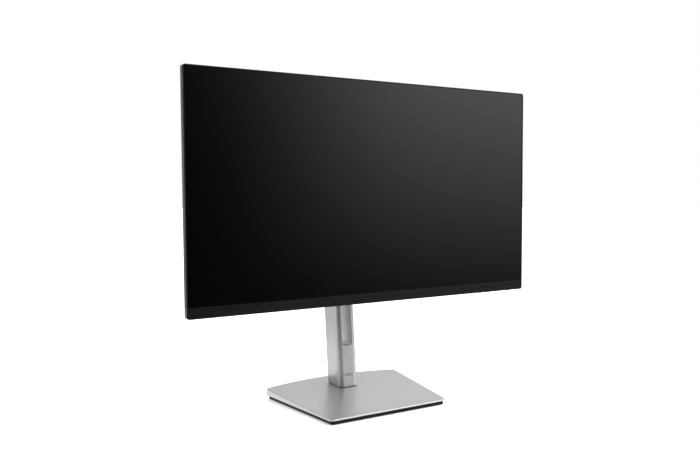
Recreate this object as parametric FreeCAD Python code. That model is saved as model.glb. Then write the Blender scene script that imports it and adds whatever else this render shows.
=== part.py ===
import FreeCAD, Part

import math
import os

Vec = FreeCAD.Vector

# ---------------------------------------------------------------- driving dimensions, mm
SWIVEL_Y = 53.5          # the swivel axis, measured back from the frame origin

# head
SCREEN_W = 611.3
SCREEN_H = 356.2
SCREEN_BOTTOM = 175.4    # underside of the head above the desk
FACE_Y = -122.8          # front of the head, from the swivel axis
CORNER_R = 4.0
FRAME_WALL = 1.3
FRAME_LIP = 1.8
FRAME_DEPTH = 7.0
EDGE_DEPTH = 10.7        # depth of the head's thin edge
CHIN_H = 16.0
PLATEAU_DEPTH = 16.0
BULGE_DEPTH = 46.0
COVER_WALL = 2.2
HEAD_Z = SCREEN_BOTTOM + SCREEN_H / 2.0

# controls under the chin
POWER_X = 274.8
KEY_XS = [246.0, 228.0, 210.0, 192.0]

# stand interface
VESA = 100.0
VESA_HOLE_R = 2.1
WINDOW = 43.0            # half size of the window for the stand plate
PLATE = 41.0             # half size of the stand plate

# tilt and pivot
TILT_Y = -42.0
TILT_SHAFT_R = 5.0
PIVOT_R = 7.95
HUB_R = 16.0
HINGE_COVER_R = 36.0

# column
COLUMN_HALF_W = 18.4
COLUMN_HALF_D = 24.5
FRONT_R = 9.5
BACK_R = 6.0
COLUMN_WALL = 3.2
LEAN_TAN = 0.097
COLUMN_SPLIT = 18.0      # where the back cover of the column begins
COLUMN_TOP = 372.0
SLOT_HALF_W = 9.5
SLOT_Z = (67.6, 155.0)
GUIDE_HALF_W = 6.3
GUIDE_Z = (167.0, 348.2)
CAVITY_Z = (162.0, 372.0)
CARRIAGE_Z = (314.0, 366.0)
COIL_Y = -4.0
COIL_Z = 352.0

# base
BASE_FRONT = -167.8
BASE_BACK = 38.1
BASE_BULGE = 59.6
BASE_FRONT_HALF = 106.6
BASE_BACK_HALF = 127.3
BASE_UNDER_Z = 7.8
BASE_Z_FRONT = 9.9
BASE_Z_BACK = 18.4
BASE_SKIN = 2.0
BASE_RIM = 5.0
PLATE_INSET = 4.0
FOOT_H = 1.0
FOOT_GAP = 1.0           # air under the column, above the base cover
SPINDLE_R = 12.55

LEAN = math.degrees(math.atan(LEAN_TAN))
BASE_SLOPE = (BASE_Z_BACK - BASE_Z_FRONT) / (BASE_BACK - BASE_FRONT)
BASE_Z_MID = BASE_Z_FRONT - BASE_FRONT * BASE_SLOPE
FOOT_Z = BASE_Z_MID + FOOT_GAP


# ---------------------------------------------------------------- helpers
def box(x, y, z):
    """A box from three (low, high) pairs."""
    shape = Part.makeBox(x[1] - x[0], y[1] - y[0], z[1] - z[0])
    shape.translate(Vec(x[0], y[0], z[0]))
    return shape


def head_box(x, z, d):
    """A box in the head: x, height from the head's centre, depth behind its face."""
    return box(x, (FACE_Y + d[0], FACE_Y + d[1]), (HEAD_Z + z[0], HEAD_Z + z[1]))


def cyl(x, y, z, axis, r, length):
    return Part.makeCylinder(r, length, Vec(x, y, z), Vec(*axis))


def head_cyl(x, z, d, r):
    """A cylinder in the head that runs in depth."""
    return cyl(x, FACE_Y + d[0], HEAD_Z + z, (0, 1, 0), r, d[1] - d[0])


def ring(x, y, z, axis, r_in, r_out, length):
    return cyl(x, y, z, axis, r_out, length).cut(cyl(x, y, z, axis, r_in, length))


def fuse(shapes):
    return shapes[0].multiFuse(shapes[1:]).removeSplitter()


def cut(shape, tools):
    return shape.cut(Part.makeCompound(tools))


def group(shapes):
    return Part.makeCompound(shapes)


def rounded_wire(half_x, z_low, z_high, depth, r):
    """A rounded rectangle in the head, facing front."""
    y = FACE_Y + depth
    low, high = HEAD_Z + z_low, HEAD_Z + z_high
    k = r * (1.0 - math.sqrt(0.5))
    edges = []
    corners = [(1, low, 1), (1, high, -1), (-1, high, -1), (-1, low, 1)]
    points = []
    for i, (sx, z, sz) in enumerate(corners):
        on_side = Vec(sx * half_x, y, z + sz * r)
        on_end = Vec(sx * (half_x - r), y, z)
        middle = Vec(sx * (half_x - k), y, z + sz * k)
        if i % 2 == 0:
            points.append((on_end, middle, on_side))
        else:
            points.append((on_side, middle, on_end))
    for i, (start, middle, end) in enumerate(points):
        edges.append(Part.Arc(start, middle, end).toShape())
        edges.append(Part.LineSegment(end, points[(i + 1) % 4][0]).toShape())
    return Part.Wire(edges)


def rounded_slab(half_x, z, d, r):
    face = Part.Face(rounded_wire(half_x, z[0], z[1], d[0], r))
    return face.extrude(Vec(0, d[1] - d[0], 0))


def frustum(first, second):
    """A tapered block between two rounded rectangles, each (half_x, z_low, z_high, depth, r)."""
    return Part.makeLoft([rounded_wire(*first), rounded_wire(*second)], True, True)


def lean(shape):
    """Lay a column part, modelled upright from z = 0, back along the column's axis."""
    shape = shape.copy()
    shape.rotate(Vec(0, 0, 0), Vec(1, 0, 0), -LEAN)
    shape.translate(Vec(0, 0, FOOT_Z))
    return shape


def column_prism(inset, z):
    """The column's rounded section, drawn in by inset, between two heights along its axis."""
    hx = COLUMN_HALF_W - inset
    hy = COLUMN_HALF_D - inset
    rf = FRONT_R - inset
    rb = BACK_R - inset
    c = 1.0 - math.sqrt(0.5)
    arcs = [
        (Vec(-hx, -hy + rf, 0), Vec(-hx + c * rf, -hy + c * rf, 0), Vec(-hx + rf, -hy, 0)),
        (Vec(hx - rf, -hy, 0), Vec(hx - c * rf, -hy + c * rf, 0), Vec(hx, -hy + rf, 0)),
        (Vec(hx, hy - rb, 0), Vec(hx - c * rb, hy - c * rb, 0), Vec(hx - rb, hy, 0)),
        (Vec(-hx + rb, hy, 0), Vec(-hx + c * rb, hy - c * rb, 0), Vec(-hx, hy - rb, 0)),
    ]
    edges = []
    for i, (start, middle, end) in enumerate(arcs):
        edges.append(Part.Arc(start, middle, end).toShape())
        edges.append(Part.LineSegment(end, arcs[(i + 1) % 4][0]).toShape())
    face = Part.Face(Part.Wire(edges))
    face.translate(Vec(0, 0, z[0]))
    return face.extrude(Vec(0, 0, z[1] - z[0]))


def half_space(z_mid, below):
    """A thick slab on one side of a plane parallel to the base's top, through z_mid at y = 0."""
    size = 900.0
    low = -size if below else 0.0
    slab = box((-size, size), (-size, size), (low, low + size))
    slab.rotate(Vec(0, 0, 0), Vec(1, 0, 0), math.degrees(math.atan(BASE_SLOPE)))
    slab.translate(Vec(0, 0, z_mid))
    return slab


def base_outline(inset, r_corner=8.0):
    """The base's plan at z = 0: a trapezoid with a bowed back edge, rounded and drawn in."""
    front_left = Vec(-BASE_FRONT_HALF, BASE_FRONT, 0)
    front_right = Vec(BASE_FRONT_HALF, BASE_FRONT, 0)
    back_right = Vec(BASE_BACK_HALF, BASE_BACK, 0)
    back_left = Vec(-BASE_BACK_HALF, BASE_BACK, 0)
    edges = [
        Part.LineSegment(front_left, front_right).toShape(),
        Part.LineSegment(front_right, back_right).toShape(),
        Part.Arc(back_right, Vec(0, BASE_BULGE, 0), back_left).toShape(),
        Part.LineSegment(back_left, front_left).toShape(),
    ]
    solid = Part.Face(Part.Wire(edges)).extrude(Vec(0, 0, 10))
    uprights = [e for e in solid.Edges if abs(e.tangentAt(e.FirstParameter).z) > 0.99]
    solid = solid.makeFillet(r_corner, uprights)
    bottom = [f for f in solid.Faces if f.CenterOfMass.z < 1e-6][0]
    if inset:
        bottom = bottom.makeOffset2D(-inset)
    return bottom


def hex_prism(x, y, z, axis, flats, length):
    r = flats / math.sqrt(3.0)
    direction = Vec(*axis)
    points = []
    for i in range(7):
        a = math.radians(60 * i)
        if abs(direction.x) > 0.5:
            points.append(Vec(x, y + r * math.cos(a), z + r * math.sin(a)))
        else:
            points.append(Vec(x + r * math.cos(a), y, z + r * math.sin(a)))
    return Part.Face(Part.makePolygon(points)).extrude(direction * length)


def coil(pitch, height, r_mean, r_wire):
    """A close-wound spring, upright from z = 0."""
    helix = Part.makeHelix(pitch, height, r_mean)
    profile = Part.Wire(Part.makeCircle(r_wire, Vec(r_mean, 0, 0), Vec(0, 1, 0)))
    return Part.Wire(helix).makePipeShell([profile], True, True)


# ---------------------------------------------------------------- head, front
def front_frame():
    """The thin black frame round the left, top and right of the panel."""
    hx, hz = SCREEN_W / 2, SCREEN_H / 2
    outer = rounded_slab(hx, (-hz, hz), (0, FRAME_DEPTH), CORNER_R)
    inner_x, inner_z = hx - FRAME_WALL, hz - FRAME_WALL
    pocket = head_box((-inner_x, inner_x), (-hz - 1, inner_z), (0.8, FRAME_DEPTH + 1))
    window = head_box((-hx + FRAME_LIP, hx - FRAME_LIP), (-hz - 1, hz - FRAME_LIP), (-1, 2))
    chin = head_box((-hx - 1, hx + 1), (-hz - 1, -hz + CHIN_H), (-1, FRAME_DEPTH + 1))
    return cut(outer, [pocket, window, chin])


def chin_bezel():
    """The bottom strip, with the openings for the keys and the power light."""
    hx, hz = SCREEN_W / 2, SCREEN_H / 2
    top = -hz + CHIN_H
    outer = rounded_slab(hx, (-hz, hz), (0, FRAME_DEPTH), CORNER_R)
    outer = outer.common(head_box((-hx - 1, hx + 1), (-hz - 1, top), (-1, FRAME_DEPTH + 1)))
    tools = [
        head_box((-hx + 1.6, hx - 1.6), (-hz + 1.6, top + 1), (1.4, FRAME_DEPTH + 1)),
        head_box((-hx + 1.3, hx - 1.3), (-168.5, top + 1), (0.8, FRAME_DEPTH + 1)),
        head_cyl(POWER_X, -175.2, (-1, 3), 1.0),
    ]
    for x in KEY_XS + [POWER_X]:
        tools.append(head_box((x - 5, x + 5), (-hz - 1, -hz + 3), (2.3, 5.7)))
    return cut(outer, tools)


def lcd_cell():
    return head_box((-304.0, 304.0), (-168.0, 176.5), (0.8, 2.2))


def mould_frame():
    """The plastic ring that holds the cell, the films and the light guide."""
    outer = head_box((-304.0, 304.0), (-170.2, 176.5), (2.2, 8.2))
    pocket = head_box((-302.6, 302.6), (-168.7, 175.0), (3.0, 9.0))
    window = head_box((-299.0, 299.0), (-163.0, 171.5), (2.0, 3.5))
    return cut(outer, [pocket, window])


def optical_films():
    """Two diffusers, a prism sheet and the rear reflector."""
    sheets = []
    for d0, d1 in [(3.05, 3.35), (3.40, 3.70), (3.75, 4.05), (6.90, 7.15)]:
        sheets.append(head_box((-302.2, 302.2), (-165.0, 174.6), (d0, d1)))
    return group(sheets)


def light_guide():
    return head_box((-301.6, 301.6), (-165.4, 174.4), (4.10, 6.85))


def led_strip():
    """The strip of lamps that feeds the light guide's bottom edge."""
    solids = [head_box((-298.0, 298.0), (-168.5, -167.7), (4.0, 7.0))]
    count = 40
    for i in range(count):
        x = -290.0 + 580.0 * i / (count - 1)
        solids.append(head_box((x - 1.8, x + 1.8), (-167.7, -166.0), (4.4, 6.6)))
    return group(solids)


def panel_tray():
    """The steel back of the panel, with ribs and the four bosses for the chassis."""
    shapes = [head_box((-301.8, 301.8), (-167.0, 174.6), (7.2, 8.0))]
    for x in (-140.0, 140.0):
        for z in (-80.0, 80.0):
            shapes.append(head_cyl(x, z, (7.9, 12.0), 5.0))
    for x in (-250.0, -200.0, 200.0, 250.0):
        shapes.append(head_box((x - 6, x + 6), (-120.0, 130.0), (7.9, 9.2)))
    for z in (-140.0, 140.0):
        shapes.append(head_box((-180.0, 180.0), (z - 6, z + 6), (7.9, 9.2)))
    return fuse(shapes)


def driver_board():
    """The long board behind the panel's bottom edge, with its driver chips."""
    solids = [head_box((-280.0, 175.0), (-169.0, -151.0), (8.3, 9.3))]
    for x in (-200.0, -60.0, 80.0):
        solids.append(head_box((x - 7, x + 7), (-160.0, -153.0), (9.3, 10.3)))
    return group(solids)


def driver_flexes():
    """Thin tails that fold round the panel's bottom edge to the driver board."""
    tails = []
    for i in range(8):
        x = (-267.0 + 60.0 * i, -243.0 + 60.0 * i)
        front = head_box(x, (-171.4, -168.0), (1.5, 1.7))
        under = head_box(x, (-171.4, -171.2), (1.5, 9.5))
        back = head_box(x, (-171.4, -163.0), (9.3, 9.5))
        tails.append(fuse([front, under, back]))
    return group(tails)


# ---------------------------------------------------------------- head, electronics
SIGNAL_BOSSES = [(63, -78), (155, -78), (63, 54), (155, 54)]
POWER_BOSSES = [(-155, -90), (-65, -90), (-155, 64), (-65, 64)]


def chassis_plate():
    """The steel plate on the panel's back that carries the boards and the stand bracket."""
    shapes = [head_box((-165.0, 165.0), (-95.0, 100.0), (12.0, 13.2))]
    for x, z in SIGNAL_BOSSES + POWER_BOSSES:
        shapes.append(head_cyl(x, z, (13.0, 19.2), 3.2))
    plate = fuse(shapes)
    holes = []
    for x, z in SIGNAL_BOSSES + POWER_BOSSES:
        holes.append(head_cyl(x, z, (14.0, 19.3), 1.5))
    for x in (-20.0, 0.0, 20.0):
        holes.append(head_cyl(x, 80.0, (11.0, 14.0), 6.0))
    return cut(plate, holes)


def finned_block(x, z, d, fins, pitch):
    """A heat sink: a base with a row of upright fins."""
    half = pitch * (fins - 1) / 2 + 0.8
    shapes = [head_box((x - half, x + half), (z - 14, z + 14), (d[0], d[0] + 2.0))]
    for i in range(fins):
        fx = x - pitch * (fins - 1) / 2 + pitch * i
        shapes.append(head_box((fx - 0.8, fx + 0.8), (z - 14, z + 14), (d[0] + 1.9, d[1])))
    return fuse(shapes)


def board_with_holes(x, z, bosses):
    board = head_box(x, z, (19.2, 20.8))
    return cut(board, [head_cyl(bx, bz, (19.0, 21.0), 1.6) for bx, bz in bosses])


def main_board():
    """The signal board with its processor, heat sink and chips."""
    solids = [board_with_holes((58.0, 160.0), (-96.0, 60.0), SIGNAL_BOSSES)]
    solids.append(head_box((98.0, 122.0), (-12.0, 12.0), (20.8, 22.4)))
    solids.append(finned_block(110.0, 0.0, (22.4, 34.0), 6, 4.6))
    for x, z in [(75, -40), (95, -50), (120, -42), (140, -20), (75, 30), (140, 25)]:
        solids.append(head_box((x - 5, x + 5), (z - 4, z + 4), (20.8, 22.2)))
    return group(solids)


def power_board():
    """The supply board with its transformer, reservoir capacitors and heat sink."""
    solids = [board_with_holes((-160.0, -60.0), (-96.0, 70.0), POWER_BOSSES)]
    solids.append(head_box((-124.0, -92.0), (-8.0, 24.0), (20.8, 40.0)))
    for z in (-52.0, -30.0):
        solids.append(head_cyl(-80.0, z, (20.8, 40.0), 9.0))
    solids.append(finned_block(-142.0, 30.0, (20.8, 36.0), 4, 5.0))
    solids.append(head_box((-90.0, -72.0), (24.0, 44.0), (20.8, 33.0)))
    return group(solids)


def board_screws():
    screws = []
    for x, z in SIGNAL_BOSSES + POWER_BOSSES:
        shank = head_cyl(x, z, (15.0, 20.8), 1.45)
        screws.append(fuse([shank, head_cyl(x, z, (20.8, 22.2), 2.8)]))
    return group(screws)


INLET_X = -118.0
INLET_PINS = [(-7.0, 28.4), (7.0, 28.4), (0.0, 33.4)]


def inlet_pin_shapes():
    pins = []
    for dx, d in INLET_PINS:
        x = INLET_X + dx
        pins.append(head_box((x - 1.0, x + 1.0), (-95.0, -80.0), (d - 2.0, d + 2.0)))
    return pins


def ac_inlet():
    """The mains inlet: a moulded shroud and its three blades."""
    body = head_box((INLET_X - 13.75, INLET_X + 13.75), (-99.8, -76.0), (20.8, 40.8))
    cavity = head_box((INLET_X - 12.2, INLET_X + 12.2), (-101.0, -84.0), (22.7, 38.9))
    rear = FACE_Y + 38.9
    edges = []
    for e in cavity.Edges:
        centre = e.CenterOfMass
        if abs(e.tangentAt(e.FirstParameter).z) > 0.99 and abs(centre.y - rear) < 0.01:
            edges.append(e)
    cavity = cavity.makeChamfer(5.0, edges)
    pins = inlet_pin_shapes()
    return group([cut(body, [cavity] + pins)] + pins)


def socket(x, half, depth, height, tongue):
    """A steel socket shell open downwards, with its tongue: (half width, depth pair)."""
    shell = head_box((x - half, x + half), (-99.8, -99.8 + depth), (21.0, 21.0 + height))
    inner = (x - half + 0.6, x + half - 0.6)
    inside = head_box(inner, (-101.0, -101.2 + depth), (21.6, 20.4 + height))
    blade = head_box((x - tongue[0], x + tongue[0]), (-98.6, -101.0 + depth), tongue[1])
    return fuse([shell.cut(inside), blade])


SOCKETS = {
    "hdmi_socket": [(70.0, 7.6, 12.0, 5.6, (5.0, (23.2, 24.4)))],
    "displayport_socket": [(91.0, 8.2, 13.0, 5.8, (5.6, (23.2, 24.6)))],
    "usb_b_socket": [(111.5, 6.1, 15.0, 11.0, (2.8, (24.9, 28.1)))],
    "usb_a_sockets": [
        (129.5, 6.7, 15.0, 6.8, (5.4, (24.8, 26.6))),
        (148.0, 6.7, 15.0, 6.8, (5.4, (24.8, 26.6))),
    ],
}


def socket_group(name):
    return group([socket(*spec) for spec in SOCKETS[name]])


# ---------------------------------------------------------------- head, back
def vesa_posts():
    """Four tapped posts on the chassis, behind the cover's mounting holes."""
    posts = []
    for x in (-VESA / 2, VESA / 2):
        for z in (-VESA / 2, VESA / 2):
            post = head_cyl(x, z, (13.2, BULGE_DEPTH - COVER_WALL), 4.5)
            posts.append(post.cut(head_cyl(x, z, (16.0, BULGE_DEPTH), VESA_HOLE_R)))
    return group(posts)


def stand_bracket():
    """A folded steel hat on the chassis that the stand's hooks catch in."""
    outer = head_box((-42.6, 42.6), (-42.6, 42.6), (13.2, 39.0))
    inside = head_box((-40.6, 40.6), (-50.0, 50.0), (13.0, 37.0))
    hat = outer.cut(inside)
    for sx in (-1, 1):
        x = sorted((sx * 42.0, sx * 54.0))
        hat = hat.fuse(head_box(x, (-40.0, 40.0), (13.2, 14.8)))
    slots = []
    for sx in (-1, 1):
        x = sorted((sx * 19.4, sx * 30.6))
        slots.append(head_box(x, (29.4, 41.0), (36.0, 40.0)))
    return cut(hat.removeSplitter(), slots)


def vent_slots():
    """Slots through the sloping top and the underside of the bulge."""
    tools = []
    for i in range(34):
        x = -132.0 + 8.0 * i
        tools.append(head_box((x - 1.5, x + 1.5), (98.0, 130.0), (20.0, 38.0)))
    for i in range(13):
        x = -84.0 + 10.0 * i
        tools.append(head_box((x - 1.5, x + 1.5), (-101.0, -97.0), (22.0, 40.0)))
    return tools


def rear_cover():
    """The moulded back: thin rim, low plateau, deep bulge, stand window and openings."""
    hx, hz = SCREEN_W / 2, SCREEN_H / 2
    rim = rounded_slab(hx, (-hz, hz), (FRAME_DEPTH + 0.2, EDGE_DEPTH), CORNER_R)
    slope = frustum(
        (hx, -hz, hz, EDGE_DEPTH, CORNER_R),
        (291.0, -164.0, 164.0, PLATEAU_DEPTH, 10.0))
    bulge = frustum(
        (200.0, -100.0, 125.0, PLATEAU_DEPTH - 0.5, 16.0),
        (182.0, -100.0, 97.0, BULGE_DEPTH, 12.0))
    outer = fuse([rim, slope, bulge])
    ix, iz = hx - 1.45, hz - 1.5
    rim_in = rounded_slab(ix, (-iz, iz), (6.0, 8.6), 0.4)
    slope_in = frustum(
        (ix, -iz, iz, 8.59, 2.5),
        (290.0, -163.0, 163.0, PLATEAU_DEPTH - COVER_WALL, 8.0))
    bulge_in = frustum(
        (197.8, -97.5, 122.6, PLATEAU_DEPTH - 2.7, 14.0),
        (180.0, -97.5, 95.0, BULGE_DEPTH - COVER_WALL, 10.0))
    shell = outer.cut(fuse([rim_in, slope_in, bulge_in]))
    collar = head_box((-WINDOW - 2, WINDOW + 2), (-WINDOW - 2, WINDOW + 2), (37.2, BULGE_DEPTH - 1.0))
    shell = shell.fuse(collar)
    tools = [head_box((-WINDOW, WINDOW), (-WINDOW, WINDOW), (30.0, BULGE_DEPTH + 1))]
    tools.append(head_box((-8.4, 8.4), (-46.0, -42.0), (40.2, 42.8)))
    tools.append(head_box((-10.95, 10.95), (-67.95, -52.05), (40.0, BULGE_DEPTH + 1)))
    for x in (-VESA / 2, VESA / 2):
        for z in (-VESA / 2, VESA / 2):
            tools.append(head_cyl(x, z, (42.0, BULGE_DEPTH + 1), VESA_HOLE_R))
    tools.append(head_box((INLET_X - 14.05, INLET_X + 14.05), (-101.0, -97.0), (20.5, 41.1)))
    for specs in SOCKETS.values():
        for x, half, depth, height, tongue in specs:
            opening = (x - half - 0.3, x + half + 0.3)
            tools.append(head_box(opening, (-101.0, -97.0), (20.7, 21.3 + height)))
    tools.append(head_box((155.0, 162.0), (-88.0, -85.0), (42.0, BULGE_DEPTH + 1)))
    return cut(shell, tools + vent_slots())


# ---------------------------------------------------------------- head, controls
def power_led_lens():
    return head_cyl(POWER_X, -175.2, (0.1, 1.9), 0.9)


def key(x):
    """A push key under the chin, with the flange that keeps it in."""
    cap = head_box((x - 4.7, x + 4.7), (-178.9, -176.2), (2.6, 5.4))
    flange = head_box((x - 5.8, x + 5.8), (-176.3, -175.0), (2.0, 6.4))
    return fuse([cap, flange])


def key_board():
    """The small board over the keys, with one switch for each."""
    solids = [head_box((184.0, 284.0), (-171.6, -170.6), (1.9, 6.9))]
    for x in KEY_XS + [POWER_X]:
        body = head_box((x - 3.0, x + 3.0), (-173.2, -171.6), (2.4, 5.6))
        stem = cyl(x, FACE_Y + 4.0, HEAD_Z - 174.2, (0, 0, 1), 1.2, 1.0)
        solids.append(fuse([body, stem]))
    return group(solids)


def release_button():
    """The push button under the stand window, with the wedge that draws the latch down."""
    face = head_box((-10.7, 10.7), (-67.7, -52.3), (45.2, 46.8))
    shapes = [face]
    for sx in (-1, 1):
        x = sorted((sx * 8.8, sx * 10.7))
        shapes.append(head_box(x, (-67.7, -52.3), (41.6, 45.3)))
    corners = [(-63.7, 45.3), (-57.8, 39.4), (-55.5, 39.4), (-55.5, 45.3), (-63.7, 45.3)]
    points = [Vec(-3.0, FACE_Y + d, HEAD_Z + z) for z, d in corners]
    shapes.append(Part.Face(Part.makePolygon(points)).extrude(Vec(6.0, 0, 0)))
    return fuse(shapes)


def release_latch():
    """The sliding bolt that catches the stand plate's lower edge."""
    slab = head_box((-8.0, 8.0), (-70.0, -39.0), (40.5, 42.5))
    corners = [(-61.2, 42.6), (-59.0, 40.4), (-52.2, 40.4), (-52.2, 42.6), (-61.2, 42.6)]
    points = [Vec(-3.4, FACE_Y + d, HEAD_Z + z) for z, d in corners]
    window = Part.Face(Part.makePolygon(points)).extrude(Vec(6.8, 0, 0))
    return slab.cut(window)


def latch_guide():
    """The moulded tray inside the cover that the bolt slides in."""
    floor = head_box((-14.3, 14.3), (-84.0, -47.0), (37.5, 38.7))
    shapes = [floor]
    for sx in (-1, 1):
        x = sorted((sx * 12.8, sx * 14.3))
        shapes.append(head_box(x, (-84.0, -47.0), (38.6, 43.8)))
        x = sorted((sx * 4.6, sx * 7.6))
        shapes.append(head_box(x, (-80.0, -48.0), (38.6, 40.4)))
    shapes.append(head_box((-14.3, 14.3), (-84.0, -82.0), (38.6, 43.8)))
    slot = head_box((-3.6, 3.6), (-65.0, -54.0), (37.0, 39.0))
    return fuse(shapes).cut(slot)


def latch_spring():
    spring = coil(1.9, 9.6, 1.45, 0.4)
    spring.translate(Vec(0, FACE_Y + 41.5, HEAD_Z - 81.0))
    return spring


# ---------------------------------------------------------------- tilt and pivot
PLATE_Y = FACE_Y + 39.0


def stand_plate():
    """The quick-release plate: hooks at the top, a latch pocket below, the pivot hub behind."""
    plate = rounded_slab(PLATE, (-PLATE, PLATE), (39.0, 43.0), 6.0)
    shapes = [plate, cyl(0, PLATE_Y + 3.9, HEAD_Z, (0, 1, 0), HUB_R, 12.9)]
    for sx in (-1, 1):
        x = sorted((sx * 20.0, sx * 30.0))
        shapes.append(head_box(x, (30.0, 34.0), (34.8, 39.1)))
        shapes.append(head_box(x, (30.0, 39.6), (34.8, 36.8)))
    body = fuse(shapes)
    tools = [
        head_box((-8.3, 8.3), (-42.0, -38.6), (40.3, 42.7)),
        cyl(0, PLATE_Y - 1, HEAD_Z, (0, 1, 0), 11.05, 3.0),
        cyl(0, PLATE_Y, HEAD_Z, (0, 1, 0), PIVOT_R + 0.05, 30.0),
    ]
    return cut(body, tools)


def pivot_shaft():
    head = cyl(0, PLATE_Y, HEAD_Z, (0, 1, 0), 11.0, 2.0)
    stem = cyl(0, PLATE_Y, HEAD_Z, (0, 1, 0), PIVOT_R, 27.4)
    return fuse([head, stem])


def pivot_washers():
    """The friction washers on both sides of the yoke."""
    washers = []
    for y in (-67.0, -62.0, -61.0):
        washers.append(ring(0, y, HEAD_Z, (0, 1, 0), PIVOT_R + 0.08, HUB_R, 1.0))
    return group(washers)


def pivot_nut():
    nut = hex_prism(0, -60.0, HEAD_Z, (0, 1, 0), 22.0, 3.5)
    return nut.cut(cyl(0, -61.0, HEAD_Z, (0, 1, 0), PIVOT_R + 0.05, 6.0))


def tilt_yoke():
    """The yoke between the pivot and the tilt shaft."""
    shapes = [cyl(0, -66.0, HEAD_Z, (0, 1, 0), 30.0, 4.0)]
    for x0 in (-24.0, 20.0):
        shapes.append(box((x0, x0 + 4.0), (-62.1, TILT_Y), (HEAD_Z - 12.0, HEAD_Z + 12.0)))
        shapes.append(cyl(x0, TILT_Y, HEAD_Z, (1, 0, 0), 12.0, 4.0))
    yoke = fuse(shapes)
    bore = cyl(0, -70.0, HEAD_Z, (0, 1, 0), PIVOT_R + 0.08, 10.0)
    shaft = cyl(-40.0, TILT_Y, HEAD_Z, (1, 0, 0), TILT_SHAFT_R + 0.06, 80.0)
    return cut(yoke, [bore, shaft])


def hinge_cover():
    """The round plastic cover over the yoke."""
    tube = ring(0, -75.6, HEAD_Z, (0, 1, 0), HINGE_COVER_R - 2.0, HINGE_COVER_R, 41.6)
    ledge = ring(0, -68.0, HEAD_Z, (0, 1, 0), 24.0, HINGE_COVER_R - 1.0, 2.0)
    return fuse([tube, ledge])


def tilt_shaft():
    return cyl(-28.5, TILT_Y, HEAD_Z, (1, 0, 0), TILT_SHAFT_R, 57.0)


def tilt_nuts():
    nuts = []
    for x in (-28.3, 24.3):
        nut = hex_prism(x, TILT_Y, HEAD_Z, (1, 0, 0), 14.0, 4.0)
        nuts.append(nut.cut(cyl(x - 1, TILT_Y, HEAD_Z, (1, 0, 0), TILT_SHAFT_R + 0.05, 6.0)))
    return group(nuts)


def tilt_springs():
    """Two springs on the tilt shaft that carry the head's weight forward of the shaft."""
    springs = []
    for x in (10.4, -18.6):
        spring = coil(1.75, 8.2, 7.3, 0.75)
        spring.rotate(Vec(0, 0, 0), Vec(0, 1, 0), 90)
        spring.translate(Vec(x, TILT_Y, HEAD_Z))
        springs.append(spring)
    return group(springs)


# ---------------------------------------------------------------- lift, in the column's own upright frame
def tilt_axis_on_column():
    """The tilt axis as (depth, height) in the column's upright frame."""
    a = math.radians(LEAN)
    dz = HEAD_Z - FOOT_Z
    return (TILT_Y * math.cos(a) - dz * math.sin(a), TILT_Y * math.sin(a) + dz * math.cos(a))


def lift_carriage():
    """The carriage in the column, with the arm that reaches out to the tilt shaft."""
    ty, tz = tilt_axis_on_column()
    block = box((-12.2, 12.2), (-17.5, 7.9), CARRIAGE_Z)
    pocket = box((-6.2, 6.2), (-16.2, 8.0), (339.5, CARRIAGE_Z[1] + 1))
    neck = box((-5.8, 5.8), (-31.0, -17.4), (318.6, 346.6))
    arm = box((-5.8, 5.8), (ty, -30.0), (tz - 9.0, tz + 9.0))
    barrel = cyl(-9.0, ty, tz, (1, 0, 0), 9.5, 18.0)
    axle = cyl(-7.0, COIL_Y, COIL_Z, (1, 0, 0), 3.0, 14.0)
    body = fuse([block.cut(pocket), neck, arm, barrel, axle])
    return lean(body.cut(cyl(-20.0, ty, tz, (1, 0, 0), TILT_SHAFT_R + 0.05, 40.0)))


def carriage_pads():
    pads = []
    for x in ((-13.25, -12.2), (12.2, 13.25)):
        for z in ((316.0, 328.0), (352.0, 364.0)):
            pads.append(lean(box(x, (-12.0, 4.0), z)))
    return group(pads)


def spring_spool():
    """The spool on the carriage and the constant-force spring wound on it."""
    spool = ring(-6.0, COIL_Y, COIL_Z, (1, 0, 0), 3.05, 7.0, 12.0)
    wound = ring(-5.6, COIL_Y, COIL_Z, (1, 0, 0), 7.05, 11.7, 11.2)
    return group([lean(spool), lean(wound)])


def spring_strip():
    """The free end of the spring, from the spool up to its anchor."""
    return lean(box((-5.4, 5.4), (8.05, 8.35), (COIL_Z, 371.0)))


def lift_rail():
    """The steel channel inside the column, with the tab that anchors the spring."""
    web = box((-14.8, 14.8), (14.5, 16.0), (163.0, 371.5))
    shapes = [web, box((-5.5, 5.5), (8.35, 14.6), (363.0, 371.0))]
    for x in ((-14.8, -13.3), (13.3, 14.8)):
        shapes.append(box(x, (-15.6, 16.0), (163.0, 371.5)))
    return lean(fuse(shapes))


# ---------------------------------------------------------------- column
SCREW_ANGLES = [math.radians(a) for a in (90, 210, 330)]
SCREW_CIRCLE = [(7.0 * math.cos(a), 7.0 * math.sin(a)) for a in SCREW_ANGLES]


def cable_slot():
    """The tool for the slot through the column that cables pass through."""
    slot = box((-SLOT_HALF_W, SLOT_HALF_W), (-40.0, 40.0), SLOT_Z)
    along = [e for e in slot.Edges if abs(e.tangentAt(e.FirstParameter).y) > 0.99]
    return slot.makeFillet(5.0, along)


def cavities():
    return [column_prism(COLUMN_WALL, (14.0, 62.0)), column_prism(COLUMN_WALL, CAVITY_Z)]


def column_shell():
    """The front and sides of the column, standing just above the base."""
    outer = column_prism(0.0, (-6.0, COLUMN_TOP))
    front = outer.common(box((-40, 40), (-40, COLUMN_SPLIT), (-10, 400)))
    guide = box((-GUIDE_HALF_W, GUIDE_HALF_W), (-40.0, -20.0), GUIDE_Z)
    shell = lean(cut(front, cavities() + [cable_slot(), guide]))
    screws = [cyl(x, y, 0, (0, 0, 1), 2.5, 28.0) for x, y in SCREW_CIRCLE]
    return cut(shell, [half_space(FOOT_Z, True)] + screws)


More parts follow.
